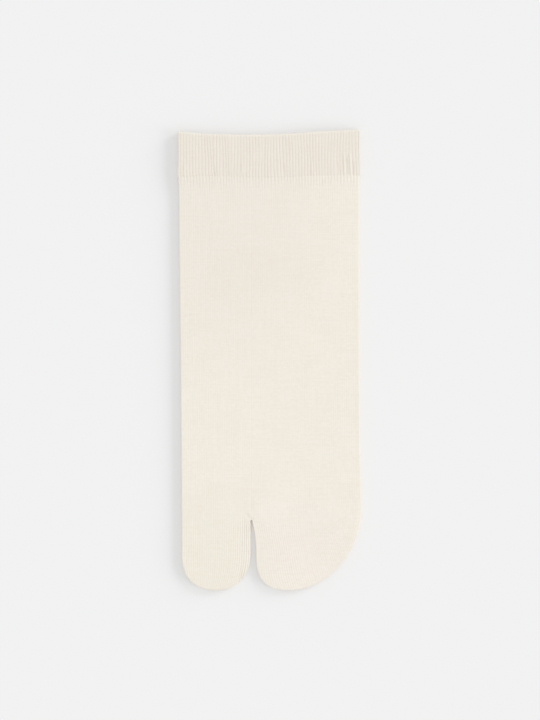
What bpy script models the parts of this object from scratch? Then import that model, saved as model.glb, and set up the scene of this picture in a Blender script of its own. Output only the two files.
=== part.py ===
"""A left tabi sock laid flat with its instep up: a flattened knitted tube with a split toe.

Metres, +Z up. The sock lies on Z = 0, its toes point along -Y and its big toe is at -X. The
origin is in the middle of its outline, on the surface that it lies on. Each piece is a
flattened tube: a wall of cloth between an outer and an inner skin, both lofted from rings.
The tables are in millimetres and are turned into metres where they are read.
"""

from collections import namedtuple
from math import cos, hypot, pi, radians, sin, sqrt

import bmesh
import bpy
from mathutils import Vector

MM = 0.001

# Sizes of the whole sock, in metres.
LENGTH = 230.7 * MM
TIP = -LENGTH / 2
SEAM_GAP = 0.3 * MM

# The cloth. The slit is the air between a tube's upper and lower layers.
KNIT_WALL = 1.05 * MM
CUFF_WALL = 1.55 * MM
SLIT = 0.5 * MM

# The rings of each tube: steps round a folded edge, and panels across a layer.
EDGE_STEPS = 4
PANELS = 8
TIP_STEPS = 12

# Where the pieces meet. The cuff seam climbs a little from the big toe's side.
CUFF_SEAM_LEFT = 91.0 * MM
CUFF_SEAM_RIGHT = 92.3 * MM
TOE_SEAM = -76.0 * MM

Station = namedtuple("Station", "y left right")
Rim = namedtuple("Rim", "x y")
Edge = namedtuple("Edge", "y x")
Side = namedtuple("Side", "out reach_x reach_y start_y power straight")
Pocket = namedtuple("Pocket", "middle left right")

# Both folded edges of the foot tube, from the cuff seam to the toes.
FOOT_STATIONS = (
    Station(y=91.0, left=-45.4, right=44.5),
    Station(y=68.0, left=-45.2, right=44.5),
    Station(y=45.0, left=-45.0, right=44.6),
    Station(y=22.0, left=-44.8, right=44.7),
    Station(y=0.0, left=-44.6, right=44.8),
    Station(y=-33.0, left=-44.3, right=45.0),
    Station(y=-55.0, left=-44.1, right=45.3),
    Station(y=-67.0, left=-44.0, right=45.6),
    Station(y=-71.0, left=-44.0, right=45.8),
    Station(y=-74.0, left=-44.0, right=46.1),
    Station(y=-76.0, left=-44.0, right=45.9),
)

# Both folded edges of the cuff, which is a little wider than the foot below it.
CUFF_STATIONS = (
    Station(y=115.35, left=-46.1, right=45.0),
    Station(y=108.0, left=-45.9, right=44.9),
    Station(y=100.0, left=-45.9, right=44.9),
    Station(y=91.0, left=-46.1, right=45.0),
)

# The cuff's upper edge dips between its two corners.
CUFF_RIM = (
    Rim(x=-46.1, y=114.1),
    Rim(x=-31.0, y=113.0),
    Rim(x=-18.0, y=112.7),
    Rim(x=-3.0, y=112.7),
    Rim(x=12.0, y=113.4),
    Rim(x=25.0, y=114.5),
    Rim(x=45.0, y=115.35),
)

# Each toe pocket has a straight stretch on each side, read from its table, and then rounds in
# along a quarter of a superellipse. That starts at start_y, reach_x out from the pocket's
# middle, and ends reach_y further down. A power of 2 is an ellipse, and more is squarer.
BIG_TOE = Pocket(
    middle=-26.7,
    left=Side(
        out=-1, reach_x=17.2, reach_y=17.35, start_y=-98.0, power=2.3,
        straight=(Edge(y=-76.0, x=-44.0), Edge(y=-98.0, x=-43.9)),
    ),
    right=Side(
        out=1, reach_x=17.2, reach_y=17.35, start_y=-98.0, power=2.0,
        straight=(Edge(y=-76.0, x=-9.5), Edge(y=-98.0, x=-9.5)),
    ),
)
SMALL_TOES = Pocket(
    middle=9.8,
    left=Side(
        out=-1, reach_x=16.3, reach_y=17.35, start_y=-98.0, power=2.6,
        straight=(
            Edge(y=-76.0, x=-9.2),
            Edge(y=-80.0, x=-8.6),
            Edge(y=-83.0, x=-7.6),
            Edge(y=-89.0, x=-6.8),
            Edge(y=-98.0, x=-6.5),
        ),
    ),
    right=Side(
        out=1, reach_x=36.1, reach_y=41.35, start_y=-74.0, power=1.95,
        straight=(),
    ),
)
STRAIGHT_ROWS = (-76.3, -80.0, -83.0, -86.0, -89.0, -92.0, -95.0)
ROUND_START = -98.0 * MM

Finish = namedtuple("Finish", "colour roughness")
FINISHES = {
    "cuff": Finish(colour=(0.82, 0.77, 0.68), roughness=0.95),
    "foot": Finish(colour=(0.87, 0.82, 0.73), roughness=0.92),
    "big_toe": Finish(colour=(0.87, 0.82, 0.72), roughness=0.92),
    "small_toes": Finish(colour=(0.88, 0.82, 0.74), roughness=0.92),
}
SHARP_ANGLE = radians(40)


def blend(a, b, t):
    return a + (b - a) * t


def read_table(rows, key, value, at):
    """The value column where the key column is at, in metres, read straight between rows."""
    points = sorted((getattr(row, key) * MM, getattr(row, value) * MM) for row in rows)
    if at <= points[0][0]:
        return points[0][1]
    for (low, first), (high, last) in zip(points, points[1:]):
        if at <= high:
            return blend(first, last, (at - low) / (high - low))
    return points[-1][1]


def quarter(share, power):
    """How far a quarter of a superellipse of size 1 stands out, share of the way along it."""
    return (1 - min(max(share, 0.0), 1.0) ** power) ** (1 / power)


def side_x(pocket, side, y, wall):
    """Where a side of a pocket is at y, with its outline drawn in by the wall."""
    if y >= side.start_y * MM:
        return read_table(side.straight, "y", "x", y) - side.out * wall
    along = (side.start_y * MM - y) / (side.reach_y * MM - wall)
    return pocket.middle * MM + side.out * (side.reach_x * MM - wall) * quarter(along, side.power)


def end_y(pocket, x, wall):
    """Where the end of a pocket is at x, with its outline drawn in by the wall."""
    side = pocket.left if x < pocket.middle * MM else pocket.right
    outward = abs(x - pocket.middle * MM) / (side.reach_x * MM - wall)
    return side.start_y * MM - (side.reach_y * MM - wall) * quarter(outward, side.power)


def columns(left, right, radius):
    """Where a ring's points lie across a layer: close together round each folded edge."""
    steps = [radius * (1 - cos(pi / 2 * i / EDGE_STEPS)) for i in range(EDGE_STEPS)]
    inner = [blend(left + radius, right - radius, i / PANELS) for i in range(PANELS + 1)]
    return [left + step for step in steps] + inner + [right - step for step in reversed(steps)]


def edge_height(distance, radius):
    """Half a skin's thickness at a distance in from its folded edge, which is half round."""
    inward = min(max(distance / radius, 0.0), 1.0)
    return radius * sqrt(1 - (1 - inward) ** 2)


def ring(left, right, radius, middle_z, y_at, end_at=None):
    """A closed ring of a flattened skin: along its lower layer, then back along its upper one."""
    lower = []
    upper = []
    for x in columns(left, right, radius):
        y = y_at(x)
        distance = min(x - left, right - x)
        if end_at is not None and distance > 0:
            from_end = max(y - end_at(x), 0.0)
            distance *= from_end / hypot(distance, from_end)
        half = edge_height(distance, radius)
        lower.append(Vector((x, y, middle_z - half)))
        upper.append(Vector((x, y, middle_z + half)))
    return lower + upper[-2:0:-1]


def make_material(name):
    finish = FINISHES[name]
    material = bpy.data.materials.new(name + "_knit")
    material.use_nodes = True
    shader = material.node_tree.nodes["Principled BSDF"]
    shader.inputs["Base Color"].default_value = (*finish.colour, 1.0)
    shader.inputs["Roughness"].default_value = finish.roughness
    shader.inputs["Metallic"].default_value = 0.0
    return material


def add_bands(shape, rows, facing_out):
    """Faces between each row of vertices and the next, all round."""
    for first, second in zip(rows, rows[1:]):
        for i, vertex in enumerate(first):
            after = (i + 1) % len(first)
            corners = (vertex, first[after], second[after], second[i])
            shape.faces.new(corners if facing_out else corners[::-1])


def add_tip(shape, row, point, facing_out):
    """A fan that closes the last row of a pocket."""
    end = shape.verts.new(point)
    for i, vertex in enumerate(row):
        corners = (vertex, row[(i + 1) % len(row)], end)
        shape.faces.new(corners if facing_out else corners[::-1])


def make_tube(name, outer, inner, place, tips=None):
    """Joins an outer and an inner skin, each a list of rings, into one closed wall of cloth.
    Without tips the tube is open at both ends, and with them its far end is closed."""
    shape = bmesh.new()
    outer_rows = [[shape.verts.new(point - place) for point in points] for points in outer]
    inner_rows = [[shape.verts.new(point - place) for point in points] for points in inner]
    add_bands(shape, outer_rows, facing_out=True)
    add_bands(shape, inner_rows, facing_out=False)
    add_bands(shape, [inner_rows[0], outer_rows[0]], facing_out=True)
    if tips is None:
        add_bands(shape, [outer_rows[-1], inner_rows[-1]], facing_out=True)
    else:
        add_tip(shape, outer_rows[-1], tips[0] - place, facing_out=True)
        add_tip(shape, inner_rows[-1], tips[1] - place, facing_out=False)
    mesh = bpy.data.meshes.new(name)
    shape.to_mesh(mesh)
    shape.free()
    mesh.shade_smooth()
    mesh.set_sharp_from_angle(angle=SHARP_ANGLE)
    mesh.materials.append(make_material(name))
    piece = bpy.data.objects.new(name, mesh)
    piece.location = place
    return piece


def both_skins(wall, make_rings):
    """The rings of the outer skin, and of the inner one that lies a wall's thickness in."""
    outer_radius = wall + SLIT / 2
    return make_rings(0.0, outer_radius), make_rings(wall, SLIT / 2)


def cuff_seam_y(x):
    """The height of the seam between cuff and foot, which climbs from left to right."""
    left = FOOT_STATIONS[0].left * MM
    right = FOOT_STATIONS[0].right * MM
    return blend(CUFF_SEAM_LEFT, CUFF_SEAM_RIGHT, (x - left) / (right - left))


def make_cuff():
    """The ribbed welt: its rings lean from the straight seam to the dipping upper edge."""
    top = CUFF_STATIONS[0].y
    bottom = CUFF_STATIONS[-1].y
    middle_z = CUFF_WALL + SLIT / 2

    def cuff_ring(station, inset, radius):
        share = (station.y - bottom) / (top - bottom)

        def y_at(x):
            return blend(cuff_seam_y(x) + SEAM_GAP, read_table(CUFF_RIM, "x", "y", x), share)

        return ring(station.left * MM + inset, station.right * MM - inset, radius, middle_z, y_at)

    def rings(inset, radius):
        return [cuff_ring(station, inset, radius) for station in CUFF_STATIONS]

    outer, inner = both_skins(CUFF_WALL, rings)
    return make_tube("cuff", outer, inner, Vector((0, CUFF_SEAM_LEFT, 0)))


def make_foot():
    """The leg and foot in one straight tube, open at the cuff and at the toes."""
    middle_z = KNIT_WALL + SLIT / 2

    def foot_ring(station, inset, radius):
        share = (station.y * MM - TOE_SEAM) / (CUFF_SEAM_LEFT - TOE_SEAM)

        def y_at(x):
            return station.y * MM + (cuff_seam_y(x) - CUFF_SEAM_LEFT) * share

        return ring(station.left * MM + inset, station.right * MM - inset, radius, middle_z, y_at)

    def rings(inset, radius):
        return [foot_ring(station, inset, radius) for station in FOOT_STATIONS]

    outer, inner = both_skins(KNIT_WALL, rings)
    return make_tube("foot", outer, inner, Vector((0, 0, 0)))


def make_pocket(name, pocket):
    """A toe pocket: straight-sided from its seam, then rounding in to its closed tip."""
    middle_z = KNIT_WALL + SLIT / 2

    def rings(inset, radius):
        tip = TIP + inset
        turns = [sin(pi / 2 * step / TIP_STEPS) for step in range(TIP_STEPS)]
        heights = [y * MM for y in STRAIGHT_ROWS] + [blend(ROUND_START, tip, t) for t in turns]
        return [
            ring(
                side_x(pocket, pocket.left, y, inset),
                side_x(pocket, pocket.right, y, inset),
                radius,
                middle_z,
                lambda x, y=y: y,
                lambda x: end_y(pocket, x, inset),
            )
            for y in heights
        ]

    outer, inner = both_skins(KNIT_WALL, rings)
    tips = [Vector((pocket.middle * MM, TIP + inset, middle_z)) for inset in (0.0, KNIT_WALL)]
    return make_tube(name, outer, inner, Vector((pocket.middle * MM, TOE_SEAM, 0)), tips)


def clear_scene():
    for old in list(bpy.data.objects):
        bpy.data.objects.remove(old, do_unlink=True)


def main():
    clear_scene()
    sock = bpy.data.collections.new("tabi_sock")
    bpy.context.scene.collection.children.link(sock)
    base = bpy.data.objects.new("tabi_sock_base", None)
    sock.objects.link(base)
    pieces = (
        make_cuff(),
        make_foot(),
        make_pocket("big_toe", BIG_TOE),
        make_pocket("small_toes", SMALL_TOES),
    )
    for piece in pieces:
        sock.objects.link(piece)
        piece.parent = base


main()
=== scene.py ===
"""A left tabi sock laid flat with its instep up, in ecru cotton knit: its cloth, light and camera.

Metres, +Z up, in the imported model's frame: the toes point along -Y, the big toe is at -X and
the sock lies on Z = 0. Tables are in millimetres. The sock is two pieces of knitting: the
ribbed cuff, a welt turned over at the top, and the foot, one cloth from the cuff to both
toes. Each is a closed wall of cloth, with an outer and an inner side, round a flat tube.
"""

import math
from collections import namedtuple

import bpy
import numpy as np
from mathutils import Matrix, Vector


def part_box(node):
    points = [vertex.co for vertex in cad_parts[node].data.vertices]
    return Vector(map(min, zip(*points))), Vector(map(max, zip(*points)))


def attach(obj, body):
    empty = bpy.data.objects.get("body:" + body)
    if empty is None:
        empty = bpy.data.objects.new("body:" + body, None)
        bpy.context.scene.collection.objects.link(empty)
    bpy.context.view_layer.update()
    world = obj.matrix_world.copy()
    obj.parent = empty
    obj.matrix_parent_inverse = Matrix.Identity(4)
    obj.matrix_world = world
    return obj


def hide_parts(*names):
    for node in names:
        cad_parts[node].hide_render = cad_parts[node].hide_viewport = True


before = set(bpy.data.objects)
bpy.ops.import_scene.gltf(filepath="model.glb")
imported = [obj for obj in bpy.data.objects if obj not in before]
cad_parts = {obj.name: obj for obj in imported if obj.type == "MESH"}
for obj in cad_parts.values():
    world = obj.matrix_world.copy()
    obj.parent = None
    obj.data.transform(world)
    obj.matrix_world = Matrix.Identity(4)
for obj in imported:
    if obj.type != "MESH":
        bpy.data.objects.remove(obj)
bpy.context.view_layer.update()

MM = 0.001
FOOT_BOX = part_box("foot")
CUFF_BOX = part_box("cuff")
TIP_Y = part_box("big_toe")[0].y

# ---------------------------------------------------------------- sizes of the cloth

FOOT_HEIGHT = FOOT_BOX[1].z
CUFF_HEIGHT = CUFF_BOX[1].z
KNIT_WALL = 0.95 * MM
CUFF_WALL = 1.5 * MM

# A wale is a column of stitches and a course is a row of them. A rib of the cuff is a raised
# wale with the sunk one beside it.
WALE = 1.12 * MM
COURSE = 0.84 * MM
SAMPLES_PER_WALE = 4
RIB_COUNT = 124
SAMPLES_PER_RIB = 8
WALE_DEPTH = 0.09 * MM
RIB_DEPTH = 0.17 * MM
# How far the tops of the ribs lie below the cuff's plain surface.
RIB_SUNK = 0.04 * MM
# A pressed fold is blunt: it reaches in less than it stands high.
FOLD_REACH = 0.26
CUFF_FOLD_REACH = 0.22

Station = namedtuple("Station", "y left right")
Rim = namedtuple("Rim", "x y")
Edge = namedtuple("Edge", "y x")
Side = namedtuple("Side", "out reach_x reach_y start_y power")
Pocket = namedtuple("Pocket", "middle left right")
Crease = namedtuple("Crease", "x1 y1 x2 y2 width height")
Swell = namedtuple("Swell", "length turn start")

# Both folded edges of the foot, from the cuff to the split between the toes.
FOOT_STATIONS = (
    Station(y=96.0, left=-46.0, right=44.85),
    Station(y=92.0, left=-46.0, right=44.85),
    Station(y=90.0, left=-45.95, right=44.75),
    Station(y=88.0, left=-45.8, right=44.6),
    Station(y=85.0, left=-45.7, right=44.5),
    Station(y=68.0, left=-45.55, right=44.5),
    Station(y=45.0, left=-45.3, right=44.6),
    Station(y=22.0, left=-45.05, right=44.7),
    Station(y=0.0, left=-44.8, right=44.8),
    Station(y=-33.0, left=-44.5, right=45.0),
    Station(y=-55.0, left=-44.35, right=45.3),
    Station(y=-67.0, left=-44.3, right=45.6),
    Station(y=-71.0, left=-44.3, right=45.8),
    Station(y=-74.0, left=-44.3, right=46.05),
    Station(y=-76.0, left=-44.25, right=45.88),
    Station(y=-79.2, left=-44.2, right=45.58),
)

# Both folded edges of the cuff, which stands a little wider than the foot below it.
CUFF_STATIONS = (
    Station(y=115.4, left=-46.2, right=45.0),
    Station(y=108.0, left=-46.05, right=44.9),
    Station(y=99.0, left=-46.05, right=44.9),
    Station(y=93.5, left=-46.25, right=45.0),
    Station(y=90.0, left=-46.1, right=44.9),
)

# The cuff's upper edge dips between its corners, and the upper layer dips below the lower one.
CUFF_RIM = (
    Rim(x=-46.1, y=114.3),
    Rim(x=-31.0, y=113.4),
    Rim(x=-18.0, y=113.1),
    Rim(x=-3.0, y=113.1),
    Rim(x=12.0, y=113.7),
    Rim(x=25.0, y=114.6),
    Rim(x=45.0, y=115.35),
)
LOWER_LAYER_SHOWS = 0.45 * MM
CUFF_SEAM_LEFT = 91.4 * MM
CUFF_SEAM_RIGHT = 92.1 * MM
# The foot's mouth goes on under the cuff, and the cuff's hem comes down over the foot.
MOUTH_LAP = 0.8 * MM
HEM_LAP = 0.8 * MM

# The split between the toes: its top end, and how far the small toes' edge leans away below it.
SPLIT_X = -9.4
SPLIT_Y = -80.2
SPLIT_HALF_WIDTH = 0.34
SMALL_TOES_LEAN = (
    Edge(y=-98.0, x=2.15),
    Edge(y=-94.0, x=2.0),
    Edge(y=-90.0, x=1.75),
    Edge(y=-86.0, x=1.2),
    Edge(y=-82.0, x=0.35),
    Edge(y=-79.5, x=0.0),
)

# Each side of a toe's tip is a quarter of a superellipse: reach_x out from the pocket's middle
# where it starts, at start_y, and reach_y further down where it ends.
BIG_TOE = Pocket(
    middle=-26.7,
    left=Side(out=-1, reach_x=17.5, reach_y=17.35, start_y=-98.0, power=2.3),
    right=Side(out=1, reach_x=16.85, reach_y=17.35, start_y=-98.0, power=2.1),
)
SMALL_TOES = Pocket(
    middle=9.8,
    left=Side(out=-1, reach_x=16.75, reach_y=17.35, start_y=-98.0, power=2.7),
    right=Side(out=1, reach_x=36.1, reach_y=41.35, start_y=-74.0, power=1.95),
)

# Below this y the small toes' wales fan out to the right, most at the right edge.
FAN_Y = -88.0
FAN_SLOPE = 0.4

# Soft ridges and, where the height is negative, troughs: a line, how far each side, how high.
UPPER_CREASES = (
    Crease(x1=2, y1=40, x2=38, y2=47, width=10.0, height=-0.16),
    Crease(x1=-34, y1=52, x2=-6, y2=46, width=8.0, height=-0.07),
    Crease(x1=19, y1=86, x2=38, y2=53, width=3.4, height=0.09),
    Crease(x1=-31, y1=84, x2=-26, y2=58, width=3.0, height=0.06),
    Crease(x1=-19.5, y1=-29, x2=-19.0, y2=-47, width=2.8, height=-0.07),
    Crease(x1=-17, y1=-63, x2=-16.5, y2=-83, width=5.2, height=-0.14),
    Crease(x1=4, y1=-77, x2=6, y2=-95, width=7.0, height=0.16),
    Crease(x1=1, y1=-44, x2=2, y2=-73, width=8.0, height=0.11),
    Crease(x1=-38, y1=20, x2=-35, y2=-38, width=4.5, height=-0.06),
    Crease(x1=31, y1=-6, x2=34, y2=-58, width=6.0, height=0.07),
    Crease(x1=-39, y1=7, x2=-12, y2=2, width=5.5, height=-0.06),
    Crease(x1=12, y1=4, x2=37, y2=10, width=5.0, height=0.06),
    Crease(x1=16, y1=-24, x2=40, y2=-29, width=6.0, height=-0.07),
    Crease(x1=-10.8, y1=-76.9, x2=-7.9, y2=-79.3, width=0.62, height=0.42),
    Crease(x1=-11.1, y1=-78.1, x2=-9.7, y2=-79.8, width=0.55, height=-0.36),
    Crease(x1=-7.6, y1=-74.5, x2=-1.5, y2=-83.5, width=2.2, height=0.14),
    Crease(x1=-43, y1=-76.4, x2=-12, y2=-75.8, width=0.9, height=0.05),
    Crease(x1=-36, y1=-84, x2=-37, y2=-101, width=2.6, height=-0.06),
    Crease(x1=-24, y1=-92, x2=-26, y2=-109, width=4.0, height=0.07),
    Crease(x1=24, y1=-88, x2=17, y2=-107, width=4.5, height=-0.07),
    Crease(x1=36, y1=-80, x2=27, y2=-98, width=2.4, height=0.06),
)
LOWER_CREASES = (
    Crease(x1=-6, y1=60, x2=30, y2=68, width=8.0, height=0.16),
    Crease(x1=-36, y1=30, x2=-10, y2=22, width=6.0, height=0.12),
    Crease(x1=8, y1=-12, x2=36, y2=-20, width=7.0, height=0.14),
    Crease(x1=-24, y1=-20, x2=-20, y2=-58, width=4.0, height=0.1),
    Crease(x1=18, y1=-48, x2=24, y2=-72, width=4.5, height=0.11),
    Crease(x1=-12, y1=-70, x2=-7, y2=-78, width=1.6, height=0.2),
    Crease(x1=-30, y1=-88, x2=-27, y2=-104, width=3.5, height=0.09),
    Crease(x1=6, y1=-90, x2=12, y2=-104, width=4.0, height=0.1),
)
CUFF_CREASES = (
    Crease(x1=36.9, y1=102.0, x2=37.2, y2=93.4, width=0.5, height=0.3),
    Crease(x1=38.2, y1=100.0, x2=38.6, y2=93.0, width=0.45, height=-0.36),
    Crease(x1=39.6, y1=103.0, x2=40.2, y2=93.6, width=0.5, height=0.32),
    Crease(x1=41.2, y1=98.5, x2=41.5, y2=93.2, width=0.5, height=-0.3),
    Crease(x1=33.5, y1=98.5, x2=33.9, y2=93.4, width=0.5, height=-0.24),
    Crease(x1=20.8, y1=97.5, x2=21.2, y2=93.0, width=0.5, height=0.2),
    Crease(x1=6.6, y1=97.0, x2=7.2, y2=92.8, width=0.5, height=-0.2),
    Crease(x1=-14.0, y1=98.0, x2=-13.4, y2=92.5, width=0.5, height=0.2),
    Crease(x1=-28.5, y1=96.5, x2=-28.0, y2=92.2, width=0.5, height=-0.2),
    Crease(x1=-42.5, y1=97.0, x2=-43.2, y2=92.0, width=0.8, height=0.25),
    Crease(x1=-33.0, y1=110.5, x2=-24.0, y2=109.0, width=1.6, height=-0.1),
    Crease(x1=4.0, y1=108.5, x2=20.0, y2=110.0, width=1.8, height=-0.1),
    Crease(x1=-40.0, y1=103.0, x2=-8.0, y2=101.0, width=3.5, height=0.1),
    Crease(x1=2.0, y1=104.0, x2=30.0, y2=103.0, width=3.0, height=-0.1),
)

# Creases and waves die away over this distance from a fold.
CREASE_ROOM = 2.6 * MM

# Long low waves over the laid cloth, which never lies quite flat. Each has a length, the way
# that it runs in degrees, and a start in radians.
SWELLS = (
    Swell(length=47, turn=20, start=0.4),
    Swell(length=61, turn=75, start=2.1),
    Swell(length=38, turn=118, start=4.0),
    Swell(length=83, turn=150, start=1.2),
)
SWELL_HEIGHT = 0.065 * MM

# The foot swells to the cuff's height over this reach, and dips round the split's top end.
HEM_SWELL_REACH = 4.6 * MM
SPLIT_DIP = 0.55 * MM
SPLIT_DIP_REACH = 7 * MM

# The wales stand out more in the toes' pockets, from the first y to the second, and most beside
# the split on the big toe.
POCKET_Y = (-78 * MM, -84 * MM)
POCKET_WALES = 0.5
BOLD_WALES = 3.6
BOLD_WALES_START = (-17.5 * MM, -13.5 * MM)
BOLD_WALES_END = (-9 * MM, -9.4 * MM)

# The cuff's ribs lean at the hem and waver on their way up, as shares of the way round.
RIB_LEAN = 0.0045
RIB_WAVER = 0.0011

# The cuff's ribs run on into the foot, deeper than in the cuff, and fade out unevenly.
RUN_ON = 3.9
RUN_ON_UNEVEN = 0.6
RUN_ON_DEPTH = 1.6

# ---------------------------------------------------------------- plain helpers


def interpolate(rows, key, value, at):
    """A smooth curve through a table's rows, read at an array of places in metres."""
    points = sorted((getattr(row, key) * MM, getattr(row, value) * MM) for row in rows)
    keys = np.array([point[0] for point in points])
    values = np.array([point[1] for point in points])
    slopes = np.gradient(values, keys)
    at = np.clip(at, keys[0], keys[-1])
    i = np.clip(np.searchsorted(keys, at) - 1, 0, len(keys) - 2)
    span = keys[i + 1] - keys[i]
    t = (at - keys[i]) / span
    start = values[i] * (2 * t**3 - 3 * t**2 + 1) + slopes[i] * span * (t**3 - 2 * t**2 + t)
    end = values[i + 1] * (3 * t**2 - 2 * t**3) + slopes[i + 1] * span * (t**3 - t**2)
    return start + end


def smooth_step(low, high, value):
    t = np.clip((value - low) / (high - low), 0.0, 1.0)
    return t * t * (3 - 2 * t)


def lerp(a, b, t):
    return a + (b - a) * t


def wander(at, seed, waves=(1, 2, 3, 5)):
    """A smooth uneven line of about -1 to 1 over at from 0 to 1, which joins up with itself."""
    rng = np.random.default_rng(seed)
    total = np.zeros_like(at)
    for wave in waves:
        total = total + np.sin(2 * math.pi * (wave * at + rng.random()))
    return total / math.sqrt(len(waves))


def crease_height(creases, x, y):
    """The creases' heights added up at each point."""
    total = np.zeros_like(x)
    for crease in creases:
        start = np.array((crease.x1, crease.y1)) * MM
        run = np.array((crease.x2, crease.y2)) * MM - start
        share = ((x - start[0]) * run[0] + (y - start[1]) * run[1]) / (run @ run)
        held = np.clip(share, 0.0, 1.0)
        away_x = x - start[0] - held * run[0]
        away_y = y - start[1] - held * run[1]
        away = (away_x**2 + away_y**2) / (crease.width * MM) ** 2
        swell = 1 + 0.25 * np.sin(5 * held + crease.x1)
        total = total + crease.height * MM * swell * np.exp(-away)
    return total


# ---------------------------------------------------------------- outline of the foot


def cuff_seam_y(x):
    """Where the cuff ends and the foot begins."""
    share = (x - FOOT_BOX[0].x) / (FOOT_BOX[1].x - FOOT_BOX[0].x)
    return lerp(CUFF_SEAM_LEFT, CUFF_SEAM_RIGHT, share)


def split_half_width(y, inset):
    """Half the split's width at y, before its right side leans away: round at its top end."""
    reach = SPLIT_HALF_WIDTH * MM + inset
    depth = np.clip((SPLIT_Y * MM + inset - y) / reach, 0.0, 1.0)
    return reach * np.sqrt(1 - (1 - depth) ** 2)


def split_shift(nearness, y, inset):
    """How far the split pushes each column aside: near its top end only the ones beside it."""
    spread = smooth_step((SPLIT_Y - 1) * MM, -96 * MM, y)
    return split_half_width(y, inset) * lerp(nearness**12, nearness, spread)


def tip_side(pocket, side, y, inset, closing=1.0):
    """A side of a tip at y. A closing under 1 gives a line that bends in less than that."""
    along = closing * np.maximum((side.start_y * MM - y) / (side.reach_y * MM - inset), 0.0)
    out = (1 - np.minimum(along, 1.0) ** side.power) ** (1 / side.power)
    return pocket.middle * MM + side.out * (side.reach_x * MM - inset) * out


def in_tip(pocket, x, y, inset):
    """Whether points of a pocket lie inside the outline of its tip."""
    slack = 1e-7
    inside = y >= TIP_Y + inset - slack
    for side in (pocket.left, pocket.right):
        clear = side.out * (tip_side(pocket, side, y, inset) - x) >= -slack
        inside &= clear | (y > side.start_y * MM)
    return inside


def big_toe_columns(share, y, inset):
    """The x of each column of stitches between the left edge and the split."""
    left = np.where(
        y > BIG_TOE.left.start_y * MM,
        interpolate(FOOT_STATIONS, "y", "left", y) + inset,
        tip_side(BIG_TOE, BIG_TOE.left, y, inset, closing=0.62),
    )
    above = y > BIG_TOE.right.start_y * MM
    right = np.where(
        above, SPLIT_X * MM, tip_side(BIG_TOE, BIG_TOE.right, y, inset, closing=0.8)
    )
    return lerp(left, right, share) - above * split_shift(share, y, inset)


def small_toes_columns(share, y, inset):
    """The x of each column of stitches between the split and the right edge."""
    above = y > SMALL_TOES.left.start_y * MM
    left = np.where(
        above,
        SPLIT_X * MM + interpolate(SMALL_TOES_LEAN, "y", "x", y),
        tip_side(SMALL_TOES, SMALL_TOES.left, y, inset, closing=0.7),
    )
    fan_y = FAN_Y * MM
    right = np.where(
        y > FOOT_STATIONS[-1].y * MM,
        interpolate(FOOT_STATIONS, "y", "right", y) - inset,
        tip_side(SMALL_TOES, SMALL_TOES.right, np.maximum(y, fan_y), inset)
        + FAN_SLOPE * np.maximum(fan_y - y, 0.0),
    )
    return lerp(left, right, share) + above * split_shift(1 - share, y, inset)


def outline(inset):
    """The outline's corners in order, from above the cuff's seam down the left side, round
    both toes and up the right side."""
    above = FOOT_STATIONS[0].y * MM + 0.01
    side_y = np.linspace(above, FOOT_STATIONS[-1].y * MM, 280)
    turn = np.linspace(0, math.pi / 2, 60)
    split_y = SPLIT_Y * MM + inset - (SPLIT_HALF_WIDTH * MM + inset) * (1 - np.cos(turn))
    low_y = np.linspace(split_y[-1], BIG_TOE.right.start_y * MM, 24)
    split_y = np.concatenate([split_y, low_y[1:]])
    parts = [np.column_stack([interpolate(FOOT_STATIONS, "y", "left", side_y) + inset, side_y])]
    for pocket, columns, share in (
        (BIG_TOE, big_toe_columns, 1.0),
        (SMALL_TOES, small_toes_columns, 0.0),
    ):
        split = np.column_stack([columns(share, split_y + 1e-9, inset), split_y])
        tip = []
        for side in (pocket.left, pocket.right):
            out = side.out * (side.reach_x * MM - inset) * np.cos(turn) ** (2 / side.power)
            down = (side.reach_y * MM - inset) * np.sin(turn) ** (2 / side.power)
            points = np.column_stack([pocket.middle * MM + out, side.start_y * MM - down])
            tip.append(points if side is pocket.left else points[::-1])
        if pocket is SMALL_TOES:
            tip[1] = tip[1][tip[1][:, 1] < FOOT_STATIONS[-1].y * MM]
            parts += [split, *tip]
        else:
            parts += [*tip, split[::-1]]
    right_x = interpolate(FOOT_STATIONS, "y", "right", side_y) - inset
    parts.append(np.column_stack([right_x, side_y])[::-1])
    joined = np.concatenate(parts)
    kept = np.linalg.norm(np.diff(joined, axis=0, prepend=joined[:1] - 1), axis=1) > 1e-7
    return joined[kept]


def from_outline(corners, x, y):
    """Each point's distance in from the outline, and the way out at its nearest stretch."""
    start = corners[:-1]
    run = np.diff(corners, axis=0)
    length = np.linalg.norm(run, axis=1)
    flat = np.column_stack([x.ravel(), y.ravel()])
    distance = np.empty(len(flat))
    nearest = np.empty(len(flat), int)
    for first in range(0, len(flat), 4000):
        some = flat[first : first + 4000, None, :] - start
        share = np.clip((some * run).sum(axis=2) / length**2, 0.0, 1.0)
        away = np.linalg.norm(some - share[..., None] * run, axis=2)
        nearest[first : first + 4000] = away.argmin(axis=1)
        distance[first : first + 4000] = away.min(axis=1)
    way = (np.column_stack([-run[:, 1], run[:, 0]]) / length[:, None])[nearest]
    return distance.reshape(x.shape), way[:, 0].reshape(x.shape), way[:, 1].reshape(x.shape)


# ---------------------------------------------------------------- meshes


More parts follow.
